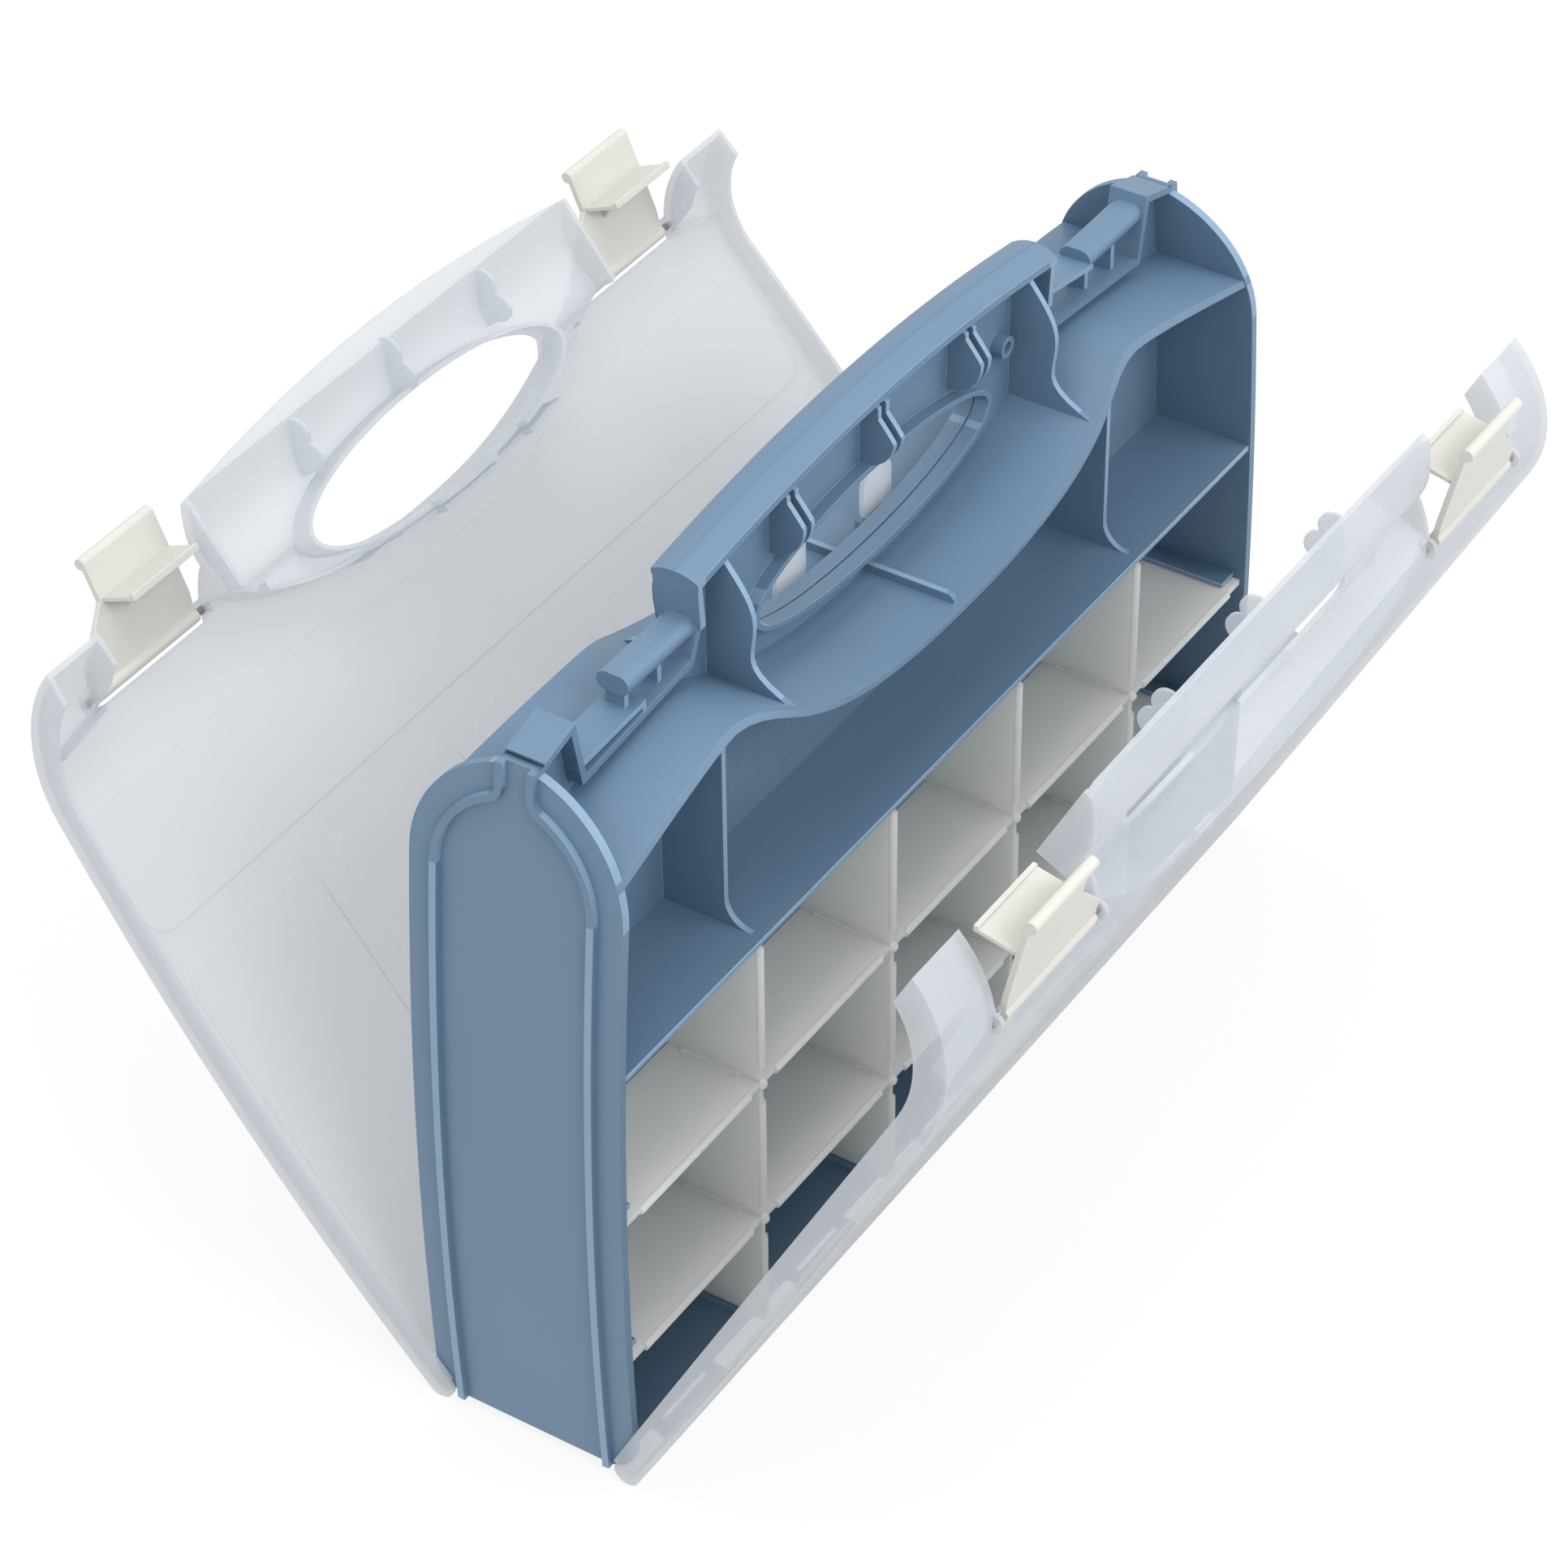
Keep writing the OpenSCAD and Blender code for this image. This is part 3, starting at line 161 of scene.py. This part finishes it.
# %% [markdown]
# ## Blue polypropylene
# The body is one injection moulding in a satin blue. The real surface isn't one flat
# colour: the mould leaves a very fine grain, faint flow clouds and a few small scuffs.
# The web behind the upper compartments also has a fine diamond grip texture, and its raised
# lines are painted a little paler, a painted highlight. All of it is made from Object coordinates,
# so it stays in place on the part. Thin edges get a painted highlight: the step that rounds the
# edges marks them in a face attribute, and the blue is painted paler there.

# %% Make the body's plastic
# The diamond net's pitch, and the part of the case where it shows, in metres.
NET_PITCH = 0.0016
WEB_HALF = 0.0013
WEB_FOOT, WEB_TOP = 0.1615, 0.239


def mix_colour(tree, share, first, second):
    return tree.add("ShaderNodeMix", {"data_type": "RGBA"}, {0: share, 6: first, 7: second}, 2)


def noise(tree, place, scale, detail=2.0, rough=0.5):
    return tree.add("ShaderNodeTexNoise", {"noise_dimensions": "3D"},
                    {"Vector": place, "Scale": scale, "Detail": detail, "Roughness": rough})


def body_plastic():
    material, tree = new_tree("blue_polypropylene")
    place = tree.add("ShaderNodeTexCoord", output=3)
    clouds = noise(tree, place, 14.0, 3.0)
    grain = noise(tree, place, 2600.0, 1.0)
    scuffs = noise(tree, place, 95.0, 6.0, 0.75)
    colour = mix_colour(tree, clouds, srgb("59738B"), srgb("607A92"))
    colour = mix_colour(tree, (scuffs > 0.72) * 0.2, colour, srgb("7C96AE"))
    # Painted highlight: the faces marked by the edge-rounding step are mixed towards a pale blue.
    rim = tree.add("ShaderNodeAttribute", {"attribute_name": "rim"}, output=2)
    colour = mix_colour(tree, rim * 0.7, colour, srgb("93AEC6"))
    x, y, z = (tree.add("ShaderNodeSeparateXYZ", None, [place], i) for i in range(3))
    # Two sets of slanting waves cross in a diamond net on the web.
    waves = 2 * math.pi / NET_PITCH
    one = tree.add("ShaderNodeMath", {"operation": "SINE"}, [(x + z) * waves])
    two = tree.add("ShaderNodeMath", {"operation": "SINE"}, [(x - z) * waves])
    on_web = (y < WEB_HALF) * (y > -WEB_HALF) * (z > WEB_FOOT) * (z < WEB_TOP)
    # The bowed end walls cross the web's plane, so only faces to front and back count.
    facing = tree.add("ShaderNodeTexCoord", output=1)
    along_y = tree.add("ShaderNodeSeparateXYZ", None, [facing], 1)
    on_web = on_web * (along_y * along_y > 0.8)
    net = (one * two) * on_web
    # Painted highlight: the net's raised lines are painted paler, where the real relief would catch
    # the light.
    colour = mix_colour(tree, (net > 0.25) * 0.22, colour, srgb("8FA9C0"))
    height = net * 0.6 + grain * 0.1 + scuffs * 0.05
    normal = tree.add("ShaderNodeBump", None, {
        "Strength": 0.5, "Distance": 0.0003, "Height": height})
    rough = 0.42 + grain * 0.1 + (scuffs > 0.72) * 0.12
    surface = tree.add("ShaderNodeBsdfPrincipled", None, {
        "Base Color": colour, "Roughness": rough, "Normal": normal, "IOR": 1.49})
    tree.finish(surface)
    return material


BODY = body_plastic()
print("material:", BODY.name)

# %% [markdown]
# ## White plastics
# The dividers are thin and slightly translucent off-white, and the latches are thicker
# and a touch warmer. Both are the same recipe with other numbers: a base colour with
# faint clouds, a fine grain, and a translucent share that lets light through thin walls.

# %% Make the white plastics
def pale_plastic(name, first, second, rough_base, through):
    material, tree = new_tree(name)
    place = tree.add("ShaderNodeTexCoord", output=3)
    clouds = noise(tree, place, 22.0, 3.0)
    grain = noise(tree, place, 2200.0, 1.0)
    marks = noise(tree, place, 70.0, 6.0, 0.7)
    colour = mix_colour(tree, clouds, srgb(first), srgb(second))
    colour = mix_colour(tree, (marks > 0.7) * 0.2, colour, srgb("D8D8D3"))
    normal = tree.add("ShaderNodeBump", None, {
        "Strength": 0.2, "Distance": 0.0002, "Height": grain + marks * 0.4})
    skin = tree.add("ShaderNodeBsdfPrincipled", None, {
        "Base Color": colour, "Roughness": rough_base + grain * 0.08, "Normal": normal,
        "IOR": 1.49})
    glow = tree.add("ShaderNodeBsdfTranslucent", None, {"Color": srgb("F7F7F3"), "Normal": normal})
    surface = tree.add("ShaderNodeMixShader", None, [through, skin, glow])
    tree.finish(surface)
    return material


DIVIDER = pale_plastic("divider_polypropylene", "F3F3F0", "F8F8F6", 0.38, 0.5)
LATCH = pale_plastic("latch_polypropylene", "C9C9C2", "D2D1CB", 0.32, 0.15)
print("materials:", DIVIDER.name, LATCH.name)

# %% [markdown]
# ## Frosted clear lids
# A lid is natural polypropylene: milky, so that what is behind it shows softly and the
# more so the closer it is. A glass shader would bend what is behind it, which thin
# sheet doesn't do. A mix of a see-through shader and a milky one gives the haze. The milky
# one is part satin skin and part translucent, as the sheet lets diffused light through.
# Layer Weight makes the haze denser where the sheet is seen edge on.

# %% Make the clear plastics
DIFFUSED_SHARE = 0.45       # the part of the milky shader that is translucent


def clear_plastic(name, haze, tint, edge):
    material, tree = new_tree(name)
    place = tree.add("ShaderNodeTexCoord", output=3)
    clouds = noise(tree, place, 9.0, 3.0)
    grain = noise(tree, place, 1500.0, 1.0)
    scratches = noise(tree, place, 160.0, 5.0, 0.8)
    normal = tree.add("ShaderNodeBump", None, {
        "Strength": 0.15, "Distance": 0.0002, "Height": grain + scratches * 0.6})
    milk = tree.add("ShaderNodeBsdfPrincipled", None, {
        "Base Color": mix_colour(tree, clouds, srgb(tint), srgb("DCE0E5")),
        "Roughness": 0.28 + scratches * 0.16, "Normal": normal, "IOR": 1.49})
    glow = tree.add("ShaderNodeBsdfTranslucent", None, {"Color": srgb("F2F4F6"), "Normal": normal})
    milk = tree.add("ShaderNodeMixShader", None, [DIFFUSED_SHARE, milk, glow])
    through = tree.add("ShaderNodeBsdfTransparent", None, {"Color": (0.97, 0.975, 0.98, 1)})
    facing = tree.add("ShaderNodeLayerWeight", None, {"Blend": 0.35}, 1)
    share = haze + facing * edge + clouds * 0.05
    surface = tree.add("ShaderNodeMixShader", None, [share, through, milk])
    tree.finish(surface)
    return material


LID = clear_plastic("frosted_polypropylene", 0.5, "D0D5DB", 0.3)
TAB = clear_plastic("clear_polystyrene", 0.22, "F0F2F4", 0.5)
print("materials:", LID.name, TAB.name)

# %% [markdown]
# ## Soft edges
# A moulding has no sharp edges. The imported solids are loose triangles, so each is copied,
# its doubles merged and its flat areas joined, and then every sharp edge is rounded. The
# round edges catch the light, which is most of what makes thin walls look like plastic. The
# rounded faces and the edges of thin walls are also marked for a painted highlight.

# %% Helpers that round the edges of a copy
DOUBLES_GAP = 0.000002      # vertices closer than this are one
SEAM_GAP = 0.00003          # a point this near to a neighbour lies on a seam
SHORTEST_EDGE = 0.0002      # shorter edges are not rounded
THIN_WALL = 0.0027          # a narrower face between two rounded edges is a wall's edge
FLAT_ANGLE = math.radians(0.6)
SHARP_ANGLE = math.radians(32)
BEVEL_SEGMENTS = 2
THIN_WALL_HIGHLIGHT = 0.6              # how strongly a thin wall's edge gets the painted highlight


def merged_copy(name):
    """The solid of a CAD node as a bmesh, with its doubles merged."""
    work = bmesh.new()
    work.from_mesh(nodes[name].data)
    for face in work.faces:
        face.material_index = 0
    bmesh.ops.remove_doubles(work, verts=work.verts, dist=DOUBLES_GAP)
    return work


def touches(point, neighbours):
    """Whether a point lies on one of the neighbours' surfaces."""
    return any(tree.find_nearest(point, SEAM_GAP)[0] is not None for tree in neighbours)


def soften(work, width, neighbours):
    """Joins the flats and rounds the sharp edges, but not along a seam with a neighbour, and marks
    the rounded faces and thin wall edges for a painted highlight.
    """
    # A face attribute that marks where the blue is painted paler, a painted highlight.
    rim = work.faces.layers.float.new("rim")
    bmesh.ops.dissolve_limit(work, angle_limit=FLAT_ANGLE, verts=work.verts,
                             edges=work.edges, delimit={"NORMAL"})
    chosen = []
    for edge in work.edges:
        if len(edge.link_faces) != 2 or edge.calc_face_angle(0) <= SHARP_ANGLE:
            continue
        ends = [v.co for v in edge.verts]
        if neighbours and all(touches(p, neighbours) for p in ends + [(ends[0] + ends[1]) / 2]):
            edge.smooth = False
        elif edge.calc_length() > SHORTEST_EDGE:
            chosen.append(edge)
    made = bmesh.ops.bevel(work, geom=chosen, offset=width, offset_type="OFFSET",
                           segments=BEVEL_SEGMENTS, profile=0.5, affect="EDGES", clamp_overlap=True)
    # The rounded faces get the full painted highlight.
    for face in made["faces"]:
        face[rim] = 1.0
    # A narrow face between two rounded edges is the edge of a thin wall, and it gets a weaker
    # painted highlight.
    for face in work.faces:
        face.smooth = True
        longest = max(edge.calc_length() for edge in face.edges)
        if face[rim] == 0 and face.calc_area() < THIN_WALL * longest:
            beside = [edge for edge in face.edges if edge.calc_length() > longest / 2
                      and any(other[rim] == 1 for other in edge.link_faces)]
            if len(beside) > 1:
                face[rim] = THIN_WALL_HIGHLIGHT


def moulding(piece_name, names, material, width):
    """One dressed piece that stands for one or more CAD nodes of the same moulding."""
    shells = {name: merged_copy(name) for name in names}
    fields = {name: BVHTree.FromBMesh(shell) for name, shell in shells.items()}
    whole = bmesh.new()
    for name in names:
        others = [fields[other] for other in names if other != name]
        soften(shells[name], width, others)
        part = bpy.data.meshes.new(name + "_shell")
        shells[name].to_mesh(part)
        shells[name].free()
        whole.from_mesh(part)
        bpy.data.meshes.remove(part)
    mesh = bpy.data.meshes.new(piece_name)
    whole.to_mesh(mesh)
    whole.free()
    mesh.materials.append(material)
    piece = bpy.data.objects.new(piece_name, mesh)
    bpy.context.scene.collection.objects.link(piece)
    normals = piece.modifiers.new("weighted", "WEIGHTED_NORMAL")
    normals.keep_sharp = True
    normals.weight = 80
    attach(piece, nodes[names[0]]["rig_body"])
    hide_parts(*names)
    print(piece_name, "->", len(mesh.polygons), "faces")
    return piece


# %% [markdown]
# ## The mouldings
# The blue case is one moulding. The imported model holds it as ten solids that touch, since
# simple solids collide more truly. They become one piece again here, with no rounding
# along the seams between them, so that no seam shows.

# %% Round every moulding
slots = {row["node"]: row["material_slot"] for row in frame["record"]["subparts"]}
# The plastic of each slot and the width of its rounded edges, in metres.
finishes = {"body_blue": (BODY, 0.00035), "lid_clear": (LID, 0.0003),
            "latch_white": (LATCH, 0.0004), "divider_white": (DIVIDER, 0.0003),
            "tab_clear": (TAB, 0.0003)}
case_nodes = sorted(name for name in nodes if slots[name] == "body_blue")
moulding("case_moulding", case_nodes, *finishes["body_blue"])
for name in sorted(nodes):
    if name not in case_nodes:
        moulding(name + "_moulding", [name], *finishes[slots[name]])

# %% [markdown]
# ## Details that follow a rule
# Two small details repeat or follow a line of the moulding, so Geometry Nodes grow them.
# The mould's halves meet along the middle of the handle's crown and leave a fine raised
# line there. In each slot of the handle a small nub stands beside a lid's tongue.

# %% Helpers that grow a detail from a node tree
def shape_tree(name, sizes):
    """A Geometry Nodes tree with one named input for each size."""
    group = bpy.data.node_groups.new(name, "GeometryNodeTree")
    for label, value in sizes.items():
        socket = group.interface.new_socket(label, in_out="INPUT", socket_type="NodeSocketFloat")
        socket.default_value = value
    group.interface.new_socket("Shape", in_out="OUTPUT", socket_type="NodeSocketGeometry")
    tree = Tree(group)
    source = group.nodes.new("NodeGroupInput")
    return group, tree, {label: Value(tree, source.outputs[label]) for label in sizes}


def close_tree(group, tree, shape, material):
    shape = tree.add("GeometryNodeRealizeInstances", None, [shape])
    shape = tree.add("GeometryNodeSetMaterial", None, {"Geometry": shape, "Material": material})
    end = group.nodes.new("NodeGroupOutput")
    group.links.new(shape.socket, end.inputs["Shape"])


def grown(name, group, sizes, body):
    """A plain mesh grown by the tree, riding on a body."""
    piece = bpy.data.objects.new(name, bpy.data.meshes.new(name))
    bpy.context.scene.collection.objects.link(piece)
    modifier = piece.modifiers.new("grow", "NODES")
    modifier.node_group = group
    for item in group.interface.items_tree:
        if item.in_out == "INPUT":
            modifier[item.identifier] = sizes[item.name]
    bpy.context.view_layer.update()
    ready = piece.evaluated_get(bpy.context.evaluated_depsgraph_get())
    mesh = bpy.data.meshes.new_from_object(ready)
    piece.modifiers.remove(modifier)
    piece.data = mesh
    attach(piece, body)
    print(name, "->", len(mesh.polygons), "faces")
    return piece


# %% Grow the parting line on the handle's crown
CROWN_RADIUS = 0.62
handle_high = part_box("handle")[1]
crown = {"Crown radius": CROWN_RADIUS, "Crown height": handle_high.z, "Half length": 0.0985,
         "Line width": 0.0006}
group, tree, size = shape_tree("parting_line", crown)
half = tree.add("ShaderNodeMath", {"operation": "ARCSINE"},
                [size["Half length"] / size["Crown radius"]])
arc = tree.add("GeometryNodeCurveArc", {"mode": "RADIUS"}, {
    "Resolution": 64, "Radius": size["Crown radius"], "Start Angle": math.pi / 2 - half,
    "Sweep Angle": half * 2})
drop = size["Crown height"] - size["Crown radius"]
shift = tree.add("ShaderNodeCombineXYZ", None, {"Z": drop})
arc = tree.add("GeometryNodeTransform", None, {
    "Geometry": arc, "Translation": shift, "Rotation": (math.pi / 2, 0, 0)})
ring = tree.add("GeometryNodeCurvePrimitiveCircle", {"mode": "RADIUS"}, {
    "Resolution": 8, "Radius": size["Line width"] / 2})
line = tree.add("GeometryNodeCurveToMesh", None, {
    "Curve": arc, "Profile Curve": ring, "Fill Caps": True})
close_tree(group, tree, line, BODY)
grown("parting_line", group, crown, "case")

# %% Grow the nubs in the handle's slots
nubs = {"Slot pitch": 0.049, "Crown radius": CROWN_RADIUS, "Crown height": handle_high.z,
        "Depth under crown": 0.0215, "Distance from web": 0.0108, "Nub radius": 0.0007,
        "Offset in slot": 0.0017}
group, tree, size = shape_tree("slot_nubs", nubs)
rows = []
for side in (-1, 1):
    start = tree.add("ShaderNodeCombineXYZ", None, {
        "X": size["Offset in slot"] - size["Slot pitch"], "Y": size["Distance from web"] * side})
    step = tree.add("ShaderNodeCombineXYZ", None, {"X": size["Slot pitch"]})
    rows.append(tree.add("GeometryNodeMeshLine", {"mode": "OFFSET"}, {
        "Count": 3, "Start Location": start, "Offset": step}))
join = group.nodes.new("GeometryNodeJoinGeometry")
for row in rows:
    group.links.new(row.socket, join.inputs[0])
place = tree.add("GeometryNodeInputPosition")
across = tree.add("ShaderNodeSeparateXYZ", None, [place])
radius = size["Crown radius"]
rise = tree.add("ShaderNodeMath", {"operation": "SQRT"}, [radius * radius - across * across])
height = size["Crown height"] - radius + rise - size["Depth under crown"]
lift = tree.add("ShaderNodeCombineXYZ", None, {"Z": height})
points = tree.add("GeometryNodeSetPosition", None, {
    "Geometry": Value(tree, join.outputs[0]), "Offset": lift})
ball = tree.add("GeometryNodeMeshIcoSphere", None, {
    "Radius": size["Nub radius"], "Subdivisions": 2})
many = tree.add("GeometryNodeInstanceOnPoints", None, {"Points": points, "Instance": ball})
close_tree(group, tree, many, BODY)
grown("slot_nubs", group, nubs, "case")

# %% [markdown]
# ## Floor, world and lamps
# The photograph is a plain studio picture on white. The floor is white diffuse, and for
# camera, mirror and see-through rays it is mostly plain white light, so the background
# is white while a soft shadow stays. The lamps are large and soft.

# %% Build the studio
LAMP_AIM = (0, 0, 0.12)     # the middle of the case, in metres
FLOOR_GLOW = 0.85           # the floor's share of plain white light when it is seen
WORLD_LIGHT = 0.62          # strength of the world as light on the case


def seen_rays(tree):
    """One for camera, mirror and see-through rays, and zero for light."""
    camera_ray, mirror_ray, through_ray = (
        tree.add("ShaderNodeLightPath", output=i) for i in (0, 5, 6))
    seen = tree.add("ShaderNodeMath", {"operation": "MAXIMUM"}, [camera_ray, mirror_ray])
    return tree.add("ShaderNodeMath", {"operation": "MAXIMUM"}, [seen, through_ray])


def studio_floor():
    mesh = bpy.data.meshes.new("floor")
    mesh.from_pydata([(-6, -6, -0.0005), (6, -6, -0.0005), (6, 6, -0.0005), (-6, 6, -0.0005)],
                     [], [(0, 1, 2, 3)])
    floor = bpy.data.objects.new("floor", mesh)
    bpy.context.scene.collection.objects.link(floor)
    material, tree = new_tree("studio_white")
    matt = tree.add("ShaderNodeBsdfDiffuse", None, {"Color": (0.8, 0.8, 0.8, 1)})
    glow = tree.add("ShaderNodeEmission", None, {"Color": (1, 1, 1, 1), "Strength": 1.0})
    tree.finish(tree.add("ShaderNodeMixShader", None, [seen_rays(tree) * FLOOR_GLOW, matt, glow]))
    mesh.materials.append(material)
    return floor


def studio_world():
    world = bpy.data.worlds.new("studio")
    bpy.context.scene.world = world
    world.use_nodes = True
    tree = Tree(world.node_tree)
    light = tree.add("ShaderNodeBackground", None, {
        "Color": (1, 1, 1, 1), "Strength": WORLD_LIGHT})
    white = tree.add("ShaderNodeBackground", None, {"Color": (1, 1, 1, 1), "Strength": 1.0})
    surface = tree.add("ShaderNodeMixShader", None, [seen_rays(tree), light, white])
    node = tree.nodes.new("ShaderNodeOutputWorld")
    tree.links.new(surface.socket, node.inputs["Surface"])


def lamp(name, place, size, watts):
    data = bpy.data.lights.new(name, "AREA")
    data.shape, data.size, data.energy = "DISK", size, watts
    made = bpy.data.objects.new(name, data)
    bpy.context.scene.collection.objects.link(made)
    made.location = place
    made.rotation_euler = (Vector(LAMP_AIM) - Vector(place)).to_track_quat("-Z", "Y").to_euler()
    return made


studio_floor()
studio_world()
lamp("key", place=(0.9, -2.3, 1.5), size=1.5, watts=22)
lamp("fill", place=(-0.9, -1.9, 2.1), size=1.1, watts=26)
lamp("top", place=(-0.2, 0.1, 2.4), size=1.6, watts=18)
lamp("side", place=(-2.2, -0.5, 0.9), size=1.4, watts=2)
bpy.context.scene.view_settings.view_transform = "Standard"
